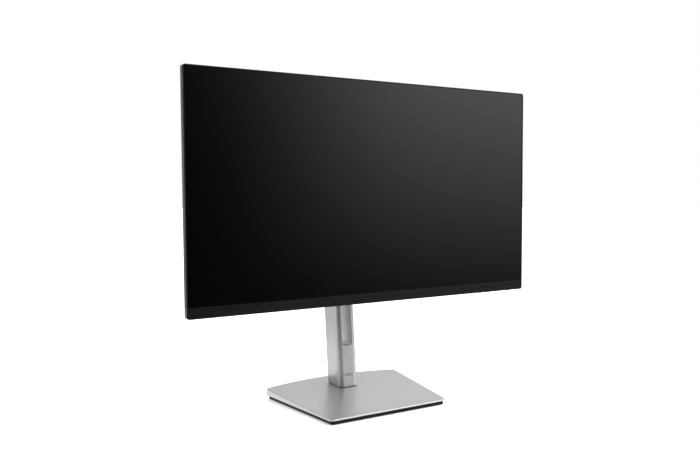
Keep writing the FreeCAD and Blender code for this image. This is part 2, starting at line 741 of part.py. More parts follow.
def column_back():
    """The snap-on back of the column."""
    outer = column_prism(0.0, (-6.0, COLUMN_TOP))
    back = outer.common(box((-40, 40), (COLUMN_SPLIT, 40), (-10, 400)))
    shell = lean(cut(back, cavities() + [cable_slot()]))
    return shell.cut(half_space(FOOT_Z, True))


def column_cap():
    cap = column_prism(0.0, (COLUMN_TOP, COLUMN_TOP + 5.0))
    rim = [e for e in cap.Edges if e.CenterOfMass.z > COLUMN_TOP + 4.99]
    return lean(cap.makeFillet(1.8, rim))


# ---------------------------------------------------------------- swivel and base
BASE_SCREWS = [(-80, -140), (80, -140), (-95, -50), (95, -50), (-100, 30), (100, 30)]


def swivel_spindle():
    """The turned spindle under the column, with the shoulder it rests on."""
    journal = cyl(0, 0, BASE_UNDER_Z - 1.7, (0, 0, 1), SPINDLE_R, 5.4)
    shoulder = cyl(0, 0, BASE_UNDER_Z + 3.6, (0, 0, 1), 19.0, 1.8)
    neck = cyl(0, 0, BASE_UNDER_Z + 5.3, (0, 0, 1), 12.4, 10.0)
    body = fuse([journal, shoulder, neck]).cut(half_space(FOOT_Z, False))
    return cut(body, [cyl(x, y, 0, (0, 0, 1), 2.5, 28.0) for x, y in SCREW_CIRCLE])


def swivel_retainer():
    disc = cyl(0, 0, BASE_UNDER_Z - 3.2, (0, 0, 1), 20.0, 1.5)
    return cut(disc, [cyl(x, y, 0, (0, 0, 1), 2.5, 28.0) for x, y in SCREW_CIRCLE])


def column_screws():
    screws = []
    for x, y in SCREW_CIRCLE:
        head = cyl(x, y, BASE_UNDER_Z - 4.8, (0, 0, 1), 4.0, 1.6)
        screws.append(fuse([head, cyl(x, y, BASE_UNDER_Z - 3.3, (0, 0, 1), 2.45, 22.0)]))
    return group(screws)


def bearing_plate():
    return ring(0, 0, BASE_UNDER_Z, (0, 0, 1), SPINDLE_R + 0.05, 34.0, 3.0)


def swivel_washers():
    upper = ring(0, 0, BASE_UNDER_Z + 3.0, (0, 0, 1), SPINDLE_R + 0.08, 19.0, 0.6)
    lower = ring(0, 0, BASE_UNDER_Z - 1.7, (0, 0, 1), SPINDLE_R + 0.08, 20.0, 1.7)
    return group([upper, lower])


def base_cover():
    """The silver cover, its top falling gently to the front."""
    solid = base_outline(0.0).extrude(Vec(0, 0, 40))
    solid = solid.common(half_space(BASE_Z_MID, True))
    solid = solid.common(box((-300, 300), (-300, 300), (BASE_UNDER_Z, 40)))
    top = [e for e in solid.Edges if e.BoundBox.ZMin > BASE_UNDER_Z + 1.0 and e.Length > 5.0]
    solid = solid.makeFillet(1.6, top)
    cavity = base_outline(BASE_RIM).extrude(Vec(0, 0, 40))
    cavity = cavity.common(half_space(BASE_Z_MID - BASE_SKIN, True))
    bosses = [cyl(x, y, 0, (0, 0, 1), 4.5, 40.0) for x, y in BASE_SCREWS]
    cover = solid.cut(cut(cavity, bosses))
    tools = [cyl(x, y, 0, (0, 0, 1), 2.0, 9.6) for x, y in BASE_SCREWS]
    return cut(cover, tools + [cyl(0, 0, 0, (0, 0, 1), 13.2, 40.0)])


def base_plate():
    """The heavy black plate under the cover."""
    plate = base_outline(PLATE_INSET).extrude(Vec(0, 0, BASE_UNDER_Z - FOOT_H))
    plate.translate(Vec(0, 0, FOOT_H))
    tools = [cyl(0, 0, 0, (0, 0, 1), 22.0, 10.0)]
    for x, y in BASE_SCREWS:
        tools.append(cyl(x, y, 0, (0, 0, 1), 2.1, 10.0))
        tools.append(cyl(x, y, 0, (0, 0, 1), 3.9, 4.0))
    return cut(plate, tools)


def base_screws():
    screws = []
    for x, y in BASE_SCREWS:
        head = cyl(x, y, 2.3, (0, 0, 1), 3.6, 1.7)
        screws.append(fuse([head, cyl(x, y, 3.9, (0, 0, 1), 1.95, 5.4)]))
    return group(screws)


FEET = [(-84, -148), (84, -148), (-108, 20), (108, 20), (0, 40)]


def base_feet():
    return group([cyl(x, y, 0, (0, 0, 1), 8.0, FOOT_H) for x, y in FEET])


# ---------------------------------------------------------------- export
def all_parts():
    parts = {
        "front_frame": front_frame(),
        "chin_bezel": chin_bezel(),
        "lcd_cell": lcd_cell(),
        "mould_frame": mould_frame(),
        "optical_films": optical_films(),
        "light_guide": light_guide(),
        "led_strip": led_strip(),
        "panel_tray": panel_tray(),
        "driver_board": driver_board(),
        "driver_flexes": driver_flexes(),
        "chassis_plate": chassis_plate(),
        "main_board": main_board(),
        "power_board": power_board(),
        "board_screws": board_screws(),
        "ac_inlet": ac_inlet(),
        "vesa_posts": vesa_posts(),
        "stand_bracket": stand_bracket(),
        "rear_cover": rear_cover(),
        "power_led_lens": power_led_lens(),
        "key_board": key_board(),
        "power_button": key(POWER_X),
        "release_button": release_button(),
        "release_latch": release_latch(),
        "latch_guide": latch_guide(),
        "latch_spring": latch_spring(),
        "stand_plate": stand_plate(),
        "pivot_shaft": pivot_shaft(),
        "pivot_washers": pivot_washers(),
        "pivot_nut": pivot_nut(),
        "tilt_yoke": tilt_yoke(),
        "hinge_cover": hinge_cover(),
        "tilt_shaft": tilt_shaft(),
        "tilt_nuts": tilt_nuts(),
        "tilt_springs": tilt_springs(),
        "lift_carriage": lift_carriage(),
        "carriage_pads": carriage_pads(),
        "spring_spool": spring_spool(),
        "spring_strip": spring_strip(),
        "lift_rail": lift_rail(),
        "column_shell": column_shell(),
        "column_back": column_back(),
        "column_cap": column_cap(),
        "swivel_spindle": swivel_spindle(),
        "swivel_retainer": swivel_retainer(),
        "column_screws": column_screws(),
        "bearing_plate": bearing_plate(),
        "swivel_washers": swivel_washers(),
        "base_cover": base_cover(),
        "base_plate": base_plate(),
        "base_screws": base_screws(),
        "base_feet": base_feet(),
    }
    for name in SOCKETS:
        parts[name] = socket_group(name)
    for i, x in enumerate(KEY_XS):
        parts["menu_key_%d" % (i + 1)] = key(x)
    return parts


os.makedirs("parts", exist_ok=True)
for node, shape in all_parts().items():
    shape.translate(Vec(0, SWIVEL_Y, 0))
    shape.exportStep("parts/%s.step" % node)
    bounds = shape.BoundBox
    print("%-20s solids %2d valid %s  x %.1f %.1f  y %.1f %.1f  z %.1f %.1f" % (
        node, len(shape.Solids), shape.isValid(), bounds.XMin, bounds.XMax,
        bounds.YMin, bounds.YMax, bounds.ZMin, bounds.ZMax))
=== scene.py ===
import logging
import math
from dataclasses import dataclass, field
from enum import Enum
from typing import Any, Optional, Union

import bmesh
import bpy
from mathutils import Matrix, Vector


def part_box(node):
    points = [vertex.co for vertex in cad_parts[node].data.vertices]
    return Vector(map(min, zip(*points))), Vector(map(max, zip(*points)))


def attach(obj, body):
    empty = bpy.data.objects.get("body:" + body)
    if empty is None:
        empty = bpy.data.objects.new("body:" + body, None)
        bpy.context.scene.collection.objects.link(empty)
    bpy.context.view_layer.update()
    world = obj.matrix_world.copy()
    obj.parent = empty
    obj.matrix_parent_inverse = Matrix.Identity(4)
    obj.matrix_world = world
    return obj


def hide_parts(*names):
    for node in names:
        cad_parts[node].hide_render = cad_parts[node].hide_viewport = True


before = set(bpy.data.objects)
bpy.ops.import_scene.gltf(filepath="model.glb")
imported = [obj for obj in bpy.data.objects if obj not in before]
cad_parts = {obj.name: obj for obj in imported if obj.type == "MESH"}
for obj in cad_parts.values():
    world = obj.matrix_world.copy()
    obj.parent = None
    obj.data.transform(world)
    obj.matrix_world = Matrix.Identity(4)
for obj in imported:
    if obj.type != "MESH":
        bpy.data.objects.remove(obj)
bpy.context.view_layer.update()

MM = 0.001
LOG = logging.getLogger("monitor")

Triple = tuple[float, float, float]
Colour = tuple[float, float, float]
Span = tuple[float, float]

MERGE_DISTANCE = 0.002 * MM        # corners nearer than this are one corner
FLAT_ANGLE = math.radians(0.4)     # faces that turn less than this are one flat face
CREASE_ANGLE = math.radians(38.0)  # edges sharper than this are shaded sharp
NOISE_MIDDLE = 0.5                 # the value that noise varies round
SHARP_ANGLE = math.radians(32.0)   # edges sharper than this are rounded

# The Mix node's sockets that carry its factor and its colours.
MIX_FACTOR, MIX_FIRST, MIX_SECOND, MIX_RESULT = 0, 6, 7, 2


# ------------------------------------------------------------------ shader maths
class Operation(Enum):
    """The sums that Math nodes do here."""

    ADD = "ADD"
    SUBTRACT = "SUBTRACT"
    MULTIPLY = "MULTIPLY"
    ABSOLUTE = "ABSOLUTE"
    GREATER_THAN = "GREATER_THAN"


class Wave:
    """One output socket of a node, with arithmetic that adds Math nodes."""

    def __init__(self, recipe: "Recipe", socket: bpy.types.NodeSocket) -> None:
        """Keep the socket.

        Args:
            recipe: The recipe that the socket's node belongs to.
            socket: The output socket.
        """
        self.recipe = recipe
        self.socket = socket

    def _maths(self, operation: Operation, *values: Any) -> "Wave":
        """Add a Math node.

        Args:
            operation: The Math node's operation.
            values: Its inputs, as numbers or waves.

        Returns:
            The node's output.
        """
        sockets = dict(enumerate(values))
        return self.recipe.node("ShaderNodeMath", {"operation": operation.value}, sockets)

    def __add__(self, other: Any) -> "Wave":
        """self + other."""
        return self._maths(Operation.ADD, self, other)

    def __radd__(self, other: Any) -> "Wave":
        """other + self."""
        return self._maths(Operation.ADD, other, self)

    def __sub__(self, other: Any) -> "Wave":
        """self - other."""
        return self._maths(Operation.SUBTRACT, self, other)

    def __rsub__(self, other: Any) -> "Wave":
        """other - self."""
        return self._maths(Operation.SUBTRACT, other, self)

    def __mul__(self, other: Any) -> "Wave":
        """self * other."""
        return self._maths(Operation.MULTIPLY, self, other)

    def __rmul__(self, other: Any) -> "Wave":
        """other * self."""
        return self._maths(Operation.MULTIPLY, other, self)

    def __abs__(self) -> "Wave":
        """The size of self."""
        return self._maths(Operation.ABSOLUTE, self)

    def above(self, limit: float) -> "Wave":
        """1 where self is over limit, 0 elsewhere."""
        return self._maths(Operation.GREATER_THAN, self, limit)

    def spread(self, amount: float, middle: float = NOISE_MIDDLE) -> "Wave":
        """Noise turned into a variation round zero."""
        return (self - middle) * amount

    def ramp(self, low: float, high: float, out_low: float = 0.0,
             out_high: float = 1.0) -> "Wave":
        """Fade smoothly from one value to another.

        Args:
            low: Where the fade starts.
            high: Where it ends.
            out_low: The value before it.
            out_high: The value after it.

        Returns:
            The faded value.
        """
        settings = {"interpolation_type": "SMOOTHSTEP"}
        return self.recipe.node("ShaderNodeMapRange", settings, {
            "Value": self, "From Min": low, "From Max": high,
            "To Min": out_low, "To Max": out_high})


class Recipe:
    """A material's or world's node tree while it is put together."""

    def __init__(self, tree: bpy.types.NodeTree) -> None:
        """Start with an empty tree.

        Args:
            tree: The node tree, which is cleared.
        """
        self.tree = tree
        tree.nodes.clear()

    def node(self, kind: str, settings: Optional[dict[str, Any]] = None,
             sockets: Optional[dict[Any, Any]] = None, output: Any = 0) -> Wave:
        """Add a node.

        Args:
            kind: The node's type.
            settings: Properties set before its sockets.
            sockets: Values or waves for its inputs, by name or number.
            output: The output wanted, by name or number.

        Returns:
            That output.
        """
        made = self.tree.nodes.new(kind)
        for name, value in (settings or {}).items():
            setattr(made, name, value)
        for name, value in (sockets or {}).items():
            if isinstance(value, Wave):
                self.tree.links.new(value.socket, made.inputs[name])
            else:
                made.inputs[name].default_value = value
        return Wave(self, made.outputs[output]) if made.outputs else Wave(self, None)

    def place(self, axis: Optional[str] = None) -> Wave:
        """Object coordinates in metres, or one axis of them.

        Args:
            axis: "X", "Y" or "Z", or None for all three.

        Returns:
            The coordinate.
        """
        whole = self.node("ShaderNodeTexCoord", output="Object")
        if axis is None:
            return whole
        return self.node("ShaderNodeSeparateXYZ", sockets={0: whole}, output=axis)

    def stretched(self, scale: Triple) -> Wave:
        """Object coordinates, stretched along each axis.

        Args:
            scale: The factor for each axis.

        Returns:
            The stretched coordinates.
        """
        return self.node("ShaderNodeMapping", sockets={"Vector": self.place(), "Scale": scale})

    def along(self, vector: Wave, direction: Triple) -> Wave:
        """How far a vector points along a direction.

        Args:
            vector: The vector.
            direction: The direction, of length 1.

        Returns:
            Their dot product.
        """
        settings = {"operation": "DOT_PRODUCT"}
        return self.node("ShaderNodeVectorMath", settings, {0: vector, 1: direction}, "Value")

    def noise(self, scale: float, detail: float = 2.0, vector: Optional[Wave] = None) -> Wave:
        """Soft noise.

        Args:
            scale: Cells per metre.
            detail: How many finer layers.
            vector: Where it is read, or None for object coordinates.

        Returns:
            The noise, around 0.5.
        """
        return self.node("ShaderNodeTexNoise", sockets={
            "Vector": vector or self.place(), "Scale": scale, "Detail": detail})

    def cells(self, scale: float) -> Wave:
        """The distance to the nearest of many scattered points.

        Args:
            scale: Points per metre.

        Returns:
            The distance, from 0 at a point.
        """
        return self.node("ShaderNodeTexVoronoi", sockets={"Vector": self.place(), "Scale": scale})

    @staticmethod
    def _rgba(value: Any) -> Any:
        """A colour with its alpha, or the wave as it is."""
        return value if isinstance(value, Wave) else (*value, 1.0)

    def mix(self, factor: Any, first: Any, second: Any) -> Wave:
        """Mix two colours.

        Args:
            factor: How much of the second.
            first: The first colour.
            second: The second colour.

        Returns:
            The mixed colour.
        """
        return self.node("ShaderNodeMix", {"data_type": "RGBA"}, {
            MIX_FACTOR: factor, MIX_FIRST: self._rgba(first), MIX_SECOND: self._rgba(second),
        }, MIX_RESULT)

    def bump(self, height: Wave, distance: float, strength: float = 1.0) -> Wave:
        """Turn a height into a normal.

        Args:
            height: The height, 0 to 1.
            distance: The height's size in metres.
            strength: How much of it shows.

        Returns:
            The bent normal.
        """
        return self.node("ShaderNodeBump", sockets={
            "Height": height, "Distance": distance, "Strength": strength})


class Finish:
    """A material made once and shared by all the pieces that have it."""

    made: dict[str, bpy.types.Material] = {}

    @property
    def title(self) -> str:
        """The material's name: the finish's own name, or its class's."""
        return getattr(self, "name", type(self).__name__)

    def sockets(self, recipe: Recipe) -> dict[str, Any]:
        """The shader's sockets.

        Args:
            recipe: The recipe to build in.

        Returns:
            Values and waves by socket name.
        """
        raise NotImplementedError

    def material(self) -> bpy.types.Material:
        """Make the material, or give the one made before.

        Returns:
            The material.
        """
        if self.title not in Finish.made:
            made = bpy.data.materials.new(self.title)
            made.use_nodes = True
            recipe = Recipe(made.node_tree)
            shader = recipe.node("ShaderNodeBsdfPrincipled", sockets=self.sockets(recipe))
            recipe.node("ShaderNodeOutputMaterial", sockets={"Surface": shader})
            Finish.made[self.title] = made
        return Finish.made[self.title]


# ------------------------------------------------------------------ finishes
def tinted(colour: Colour, factor: float, lift: float = 0.0) -> Colour:
    """Make a colour lighter or darker.

    Args:
        colour: The colour.
        factor: What each part of it is multiplied by.
        lift: What is added to each part.

    Returns:
        The new colour.
    """
    red, green, blue = (min(1.0, part * factor + lift) for part in colour)
    return red, green, blue


@dataclass(frozen=True)
class MouldedPlastic(Finish):
    """Injection-moulded plastic with a fine spark-eroded grain."""

    name: str
    colour: Colour
    roughness: float = 0.42
    grain: float = 1500.0
    depth: float = 0.00002
    specular: float = 0.5

    def sockets(self, recipe: Recipe) -> dict[str, Any]:
        """Grain in the bump, soft handling marks in the roughness.

        Args:
            recipe: The recipe to build in.

        Returns:
            Values and waves by socket name.
        """
        cloud = recipe.noise(14.0, 3.0)
        fine = recipe.noise(self.grain)
        pits = recipe.cells(self.grain * 0.8)
        lighter = tinted(self.colour, 1.25, 0.002)
        return {
            "Base Color": recipe.mix(fine.ramp(0.35, 0.7), self.colour, lighter),
            "Roughness": self.roughness + cloud.spread(0.10) + fine.spread(0.08),
            "Specular IOR Level": self.specular,
            "Normal": recipe.bump(fine * 0.6 + pits * 0.5, self.depth),
        }


@dataclass(frozen=True)
class SilverCoat(Finish):
    """Silver paint with tiny metal flakes under a satin lacquer."""

    name: str = "SilverCoat"
    colour: Colour = (0.330, 0.333, 0.337)
    metallic: float = 0.72
    roughness: float = 0.33
    flakes_per_metre: float = 2600.0
    flake_height: float = 0.008 * MM

    def sockets(self, recipe: Recipe) -> dict[str, Any]:
        """Flakes vary the colour and bend the normal a little.

        Args:
            recipe: The recipe to build in.

        Returns:
            Values and waves by socket name.
        """
        flakes = recipe.cells(self.flakes_per_metre)
        cloud = recipe.noise(9.0)
        dark = tinted(self.colour, 0.90)
        light = tinted(self.colour, 1.07)
        return {
            "Base Color": recipe.mix(flakes.ramp(0.1, 0.75), light, dark),
            "Metallic": self.metallic,
            "Roughness": self.roughness + cloud.spread(0.07) + flakes.spread(0.08, 0.4),
            "Normal": recipe.bump(flakes, self.flake_height, 0.6),
        }


@dataclass(frozen=True)
class ScreenCoat(Finish):
    """The dark, anti-glare face of a switched-off liquid crystal panel."""

    half_x: float
    low_z: float
    high_z: float
    colour: Colour = (0.0004, 0.0004, 0.00045)
    margin: Colour = (0.0002, 0.0002, 0.0002)
    margin_softness: float = 0.3 * MM
    roughness: float = 0.17
    specular: float = 0.25
    haze_height: float = 0.006 * MM

    def sockets(self, recipe: Recipe) -> dict[str, Any]:
        """A dark margin round the picture area, and the coating's haze.

        Args:
            recipe: The recipe to build in.

        Returns:
            Values and waves by socket name.
        """
        soft = self.margin_softness
        side = abs(recipe.place("X")).ramp(self.half_x - soft, self.half_x + soft)
        low = recipe.place("Z").ramp(self.low_z - soft, self.low_z + soft)
        high = recipe.place("Z").ramp(self.high_z - soft, self.high_z + soft)
        inside = (1.0 - side) * low * (1.0 - high)
        haze = recipe.noise(2600.0)
        cloud = recipe.noise(5.0)
        return {
            "Base Color": recipe.mix(inside, self.margin, self.colour),
            "Roughness": self.roughness + cloud.spread(0.04) + haze.spread(0.04),
            "Specular IOR Level": self.specular,
            "Normal": recipe.bump(haze, self.haze_height, 0.3),
        }


@dataclass(frozen=True)
class BrushedBlack(Finish):
    """Black plastic with a fine sideways hairline."""

    colour: Colour = (0.0022, 0.0022, 0.0024)
    roughness: float = 0.28
    specular: float = 0.25
    hairs_per_metre: Triple = (6.0, 900.0, 2400.0)
    hair_height: float = 0.012 * MM

    def sockets(self, recipe: Recipe) -> dict[str, Any]:
        """Long thin noise for the hairline.

        Args:
            recipe: The recipe to build in.

        Returns:
            Values and waves by socket name.
        """
        hair = recipe.noise(1.0, 3.0, recipe.stretched(self.hairs_per_metre))
        cloud = recipe.noise(12.0)
        lighter = tinted(self.colour, 1.5)
        return {
            "Base Color": recipe.mix(hair.ramp(0.35, 0.65), self.colour, lighter),
            "Roughness": self.roughness + hair.spread(0.12) + cloud.spread(0.06),
            "Specular IOR Level": self.specular,
            "Normal": recipe.bump(hair, self.hair_height, 0.7),
        }


@dataclass(frozen=True)
class PlatedSteel(Finish):
    """Zinc-plated or bright steel, with rolling marks."""

    name: str = "PlatedSteel"
    colour: Colour = (0.55, 0.56, 0.58)
    roughness: float = 0.34
    streaks_per_metre: Triple = (90.0, 1400.0, 1400.0)
    streak_height: float = 0.01 * MM

    def sockets(self, recipe: Recipe) -> dict[str, Any]:
        """Streaks along X and clouds of duller plating.

        Args:
            recipe: The recipe to build in.

        Returns:
            Values and waves by socket name.
        """
        streak = recipe.noise(1.0, 3.0, recipe.stretched(self.streaks_per_metre))
        cloud = recipe.noise(60.0, 3.0)
        duller = tinted(self.colour, 0.78)
        return {
            "Base Color": recipe.mix(cloud.ramp(0.4, 0.7), self.colour, duller),
            "Metallic": 1.0,
            "Roughness": self.roughness + streak.spread(0.2) + cloud.spread(0.12),
            "Normal": recipe.bump(streak, self.streak_height, 0.6),
        }


@dataclass(frozen=True)
class SoftRubber(Finish):
    """Matt black rubber."""

    colour: Colour = (0.018, 0.018, 0.018)
    dust: Colour = (0.05, 0.05, 0.048)
    roughness: float = 0.78
    grain_height: float = 0.04 * MM

    def sockets(self, recipe: Recipe) -> dict[str, Any]:
        """Dusty patches over a coarse grain.

        Args:
            recipe: The recipe to build in.

        Returns:
            Values and waves by socket name.
        """
        patches = recipe.noise(120.0, 4.0)
        grain = recipe.cells(1800.0)
        return {
            "Base Color": recipe.mix(patches.ramp(0.45, 0.75), self.colour, self.dust),
            "Roughness": self.roughness + patches.spread(0.2),
            "Normal": recipe.bump(grain, self.grain_height, 0.7),
        }


@dataclass(frozen=True)
class CircuitBoard(Finish):
    """Green board lacquer with copper tracks under it, and dark parts standing on it."""

    name: str
    surface: float
    colour: Colour = (0.012, 0.10, 0.035)
    over_copper: Colour = (0.03, 0.22, 0.08)
    part_dark: Colour = (0.012, 0.012, 0.013)
    part_light: Colour = (0.03, 0.03, 0.032)
    roughness: float = 0.38
    track_height: float = 0.03 * MM

    def sockets(self, recipe: Recipe) -> dict[str, Any]:
        """Tracks from a brick pattern, and dark parts past the board's own surface.

        Args:
            recipe: The recipe to build in.

        Returns:
            Values and waves by socket name.
        """
        tracks = recipe.node("ShaderNodeTexBrick", {"offset": 0.35}, {
            "Vector": recipe.place(), "Scale": 260.0, "Mortar Size": 0.03,
            "Color1": (0, 0, 0, 1), "Color2": (0, 0, 0, 1), "Mortar": (1, 1, 1, 1)}, "Fac")
        mottle = recipe.noise(700.0)
        board = recipe.mix(tracks, self.colour, self.over_copper)
        raised = recipe.place("Y").above(self.surface)
        parts = recipe.mix(mottle.ramp(0.4, 0.6), self.part_dark, self.part_light)
        return {
            "Base Color": recipe.mix(raised, board, parts),
            "Roughness": self.roughness + raised * 0.12 + mottle.spread(0.1),
            "Normal": recipe.bump(tracks + mottle * 0.3, self.track_height, 0.6),
        }


@dataclass(frozen=True)
class PaleSheet(Finish):
    """White film, acetal or clear acrylic inside the panel and the hinges."""

    name: str
    colour: Colour
    roughness: float = 0.35
    transmission: float = 0.0
    dots_per_metre: float = 900.0
    dot_height: float = 0.01 * MM

    def sockets(self, recipe: Recipe) -> dict[str, Any]:
        """A printed dot pattern and slight unevenness.

        Args:
            recipe: The recipe to build in.

        Returns:
            Values and waves by socket name.
        """
        dots = recipe.cells(self.dots_per_metre)
        cloud = recipe.noise(30.0, 3.0)
        duller = tinted(self.colour, 0.92)
        return {
            "Base Color": recipe.mix(dots.ramp(0.2, 0.35), duller, self.colour),
            "Roughness": self.roughness + cloud.spread(0.12),
            "Transmission Weight": self.transmission,
            "Normal": recipe.bump(dots, self.dot_height, 0.4),
        }


BLACK_PLASTIC = MouldedPlastic("BlackPlastic", (0.004, 0.004, 0.0042), 0.38, 1800.0, 0.00002, 0.14)
COVER_PLASTIC = MouldedPlastic("CoverPlastic", (0.008, 0.008, 0.0083), 0.46, 900.0, 0.00005, 0.4)
KEY_PLASTIC = MouldedPlastic("KeyPlastic", (0.014, 0.014, 0.015), 0.40, 2200.0, 0.00001)
INNER_PLASTIC = MouldedPlastic("InnerPlastic", (0.014, 0.014, 0.014), 0.5, 1200.0, 0.00003)
POWDER_BLACK = MouldedPlastic("PowderBlack", (0.004, 0.004, 0.004), 0.5, 1300.0, 0.00006, 0.08)
SMOKED_LENS = MouldedPlastic("SmokedLens", (0.004, 0.004, 0.004), 0.12, 600.0, 0.000003)
SILVER = SilverCoat()
STEEL = PlatedSteel()
SPRING_STEEL = PlatedSteel("SpringSteel", (0.34, 0.35, 0.37), 0.28)
MARK_GREY = MouldedPlastic("MarkGrey", (0.12, 0.12, 0.125), 0.45, 2400.0, 0.000004)
RUBBER = SoftRubber()
ACETAL = PaleSheet("Acetal", (0.70, 0.69, 0.64), 0.4)
FILM = PaleSheet("Film", (0.80, 0.80, 0.78), 0.45)
ACRYLIC = PaleSheet("Acrylic", (0.85, 0.87, 0.88), 0.12, 0.85)


def dress(thing: Union[str, bpy.types.Object], finish: Finish) -> None:
    """Give a piece or a CAD node one finish all over.

    Args:
        thing: A new piece, or a CAD node's name.
        finish: Its finish.
    """
    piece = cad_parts[thing] if isinstance(thing, str) else thing
    piece.data.materials.clear()
    piece.data.materials.append(finish.material())


# ------------------------------------------------------------------ shaping
@dataclass(frozen=True)
class Place:
    """Where a new piece belongs in the model."""

    body: str
    slot: str
    replaced: tuple[str, ...] = ()


class Shape:
    """A mesh in the making, and the operators that shape it."""

    def __init__(self, mesh: Optional[bpy.types.Mesh] = None) -> None:
        """Start empty, or from a copy of a mesh with its doubles merged.

        Args:
            mesh: The mesh to copy.
        """
        self.work = bmesh.new()
        if mesh is not None:
            self.work.from_mesh(mesh)
            bmesh.ops.remove_doubles(self.work, verts=self.work.verts, dist=MERGE_DISTANCE)

    def flatten(self) -> "Shape":
        """Join the triangles of each flat face.

        Returns:
            The shape.
        """
        bmesh.ops.dissolve_limit(self.work, angle_limit=FLAT_ANGLE,
                                 verts=self.work.verts, edges=self.work.edges)
        return self

    def block(self, low: Triple, high: Triple) -> "Shape":
        """Add a block.

        Args:
            low: Its lowest corner.
            high: Its highest corner.

        Returns:
            The shape.
        """
        start, end = Vector(low), Vector(high)
        size = Matrix.Diagonal((*(end - start), 1.0))
        middle = Matrix.Translation((start + end) / 2)
        bmesh.ops.create_cube(self.work, size=1.0, matrix=middle @ size)
        return self

    def soften(self, width: float, segments: int = 2) -> "Shape":
        """Round the shape's sharp edges.

        Args:
            width: The width of the rounding.
            segments: Its steps.

        Returns:
            The shape.
        """
        sharp = [edge for edge in self.work.edges
                 if edge.is_manifold and edge.calc_face_angle(0.0) > SHARP_ANGLE]
        bmesh.ops.bevel(self.work, geom=sharp, offset=width, offset_type="OFFSET",
                        segments=segments, profile=0.5, affect="EDGES", clamp_overlap=True,
                        material=-1)
        return self

    def move(self, matrix: Matrix) -> "Shape":
        """Move the whole shape."""
        bmesh.ops.transform(self.work, matrix=matrix, verts=self.work.verts)
        return self

    def piece(self, name: str, finish: Finish, place: Place) -> bpy.types.Object:
        """Turn the shape into a finished piece.

        Args:
            name: The piece's name.
            finish: Its finish.
            place: Where it belongs.

        Returns:
            The piece.
        """
        bmesh.ops.recalc_face_normals(self.work, faces=self.work.faces)
        for face in self.work.faces:
            face.smooth = True
        mesh = bpy.data.meshes.new(name)
        self.work.to_mesh(mesh)
        self.work.free()
        mesh.set_sharp_from_angle(angle=CREASE_ANGLE)
        made = bpy.data.objects.new(name, mesh)
        bpy.context.scene.collection.objects.link(made)
        normals = made.modifiers.new("normals", "WEIGHTED_NORMAL")
        normals.keep_sharp = True
        mesh.materials.append(finish.material())
        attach(made, place.body)
        if place.replaced:
            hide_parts(*place.replaced)
        LOG.info("%s: %d faces on %s", name, len(mesh.polygons), place.body)
        return made


@dataclass(frozen=True)
class Rounded:
    """A CAD node that is shown as a copy with rounded edges."""

    node: str
    body: str
    slot: str
    finish: Finish
    width: float = 0.3 * MM
    segments: int = 2

    def build(self) -> bpy.types.Object:
        """Copy the node, round its edges and dress it.

        Returns:
            The new piece.
        """
        shape = Shape(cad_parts[self.node].data).flatten()
        shape.soften(self.width, self.segments)
        place = Place(self.body, self.slot, (self.node,))
        return shape.piece(self.node + "_skin", self.finish, place)


# ------------------------------------------------------------------ sub-assemblies
@dataclass
class InnerPanel:
    """The layers of the display panel behind the screen."""

    finishes: dict[str, Finish] = field(default_factory=lambda: {
        "mould_frame": INNER_PLASTIC, "optical_films": FILM, "light_guide": ACRYLIC,
        "panel_tray": STEEL, "driver_flexes": FILM,
    })
    boards: tuple[str, ...] = ("led_strip", "driver_board")
    board_thickness: float = 1.2 * MM

    def build(self) -> None:
        """Dress the layers that come from the CAD model."""
        for node, finish in self.finishes.items():
            dress(node, finish)
        for node in self.boards:
            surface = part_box(node)[0].y + self.board_thickness
            dress(node, CircuitBoard(node + "_board", surface))
        LOG.info("inner panel: %d layers", len(self.finishes) + len(self.boards))


@dataclass
class HeadFront:
    """The screen, its black frame and the strip under it."""

    picture_width: float = 596.7 * MM
    picture_height: float = 335.7 * MM

    def build(self) -> None:
        """Dress the front."""
        strip_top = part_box("chin_bezel")[1].z
        coat = ScreenCoat(self.picture_width / 2, strip_top, strip_top + self.picture_height)
        Rounded("lcd_cell", "head", "screen", coat, 0.08 * MM).build()
        Rounded("front_frame", "head", "black_plastic", BLACK_PLASTIC, 0.35 * MM, 3).build()
        Rounded("chin_bezel", "head", "chin_plastic", BrushedBlack(), 0.35 * MM, 3).build()
        dress("power_led_lens", SMOKED_LENS)
        LOG.info("head front: screen, frame, strip and lamp")


@dataclass
class Electronics:
    """The boards, sockets and metalwork inside the head."""

    boards: tuple[str, ...] = ("main_board", "power_board", "key_board")
    metal: tuple[str, ...] = (
        "chassis_plate", "board_screws", "vesa_posts", "stand_bracket", "hdmi_socket",
        "displayport_socket", "usb_b_socket", "usb_a_sockets",
    )
    board_thickness: float = 1.7 * MM

    def build(self) -> None:
        """Dress the boards and metalwork."""
        for node in self.boards:
            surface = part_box(node)[0].y + self.board_thickness
            dress(node, CircuitBoard(node + "_board", surface))
        for node in self.metal:
            dress(node, STEEL)
        dress("ac_inlet", INNER_PLASTIC)
        LOG.info("electronics: %d nodes", len(self.boards) + len(self.metal) + 1)


@dataclass
class RearShell:
    """The head's moulded back, with the release button and its latch."""

    def build(self) -> None:
        """Dress the back."""
        Rounded("rear_cover", "head", "cover_plastic", COVER_PLASTIC, 0.35 * MM).build()
        Rounded("release_button", "release", "key_plastic", KEY_PLASTIC, 0.3 * MM).build()
        dress("release_latch", STEEL)
        dress("latch_guide", INNER_PLASTIC)
        dress("latch_spring", SPRING_STEEL)
        LOG.info("rear shell: cover, button and latch")


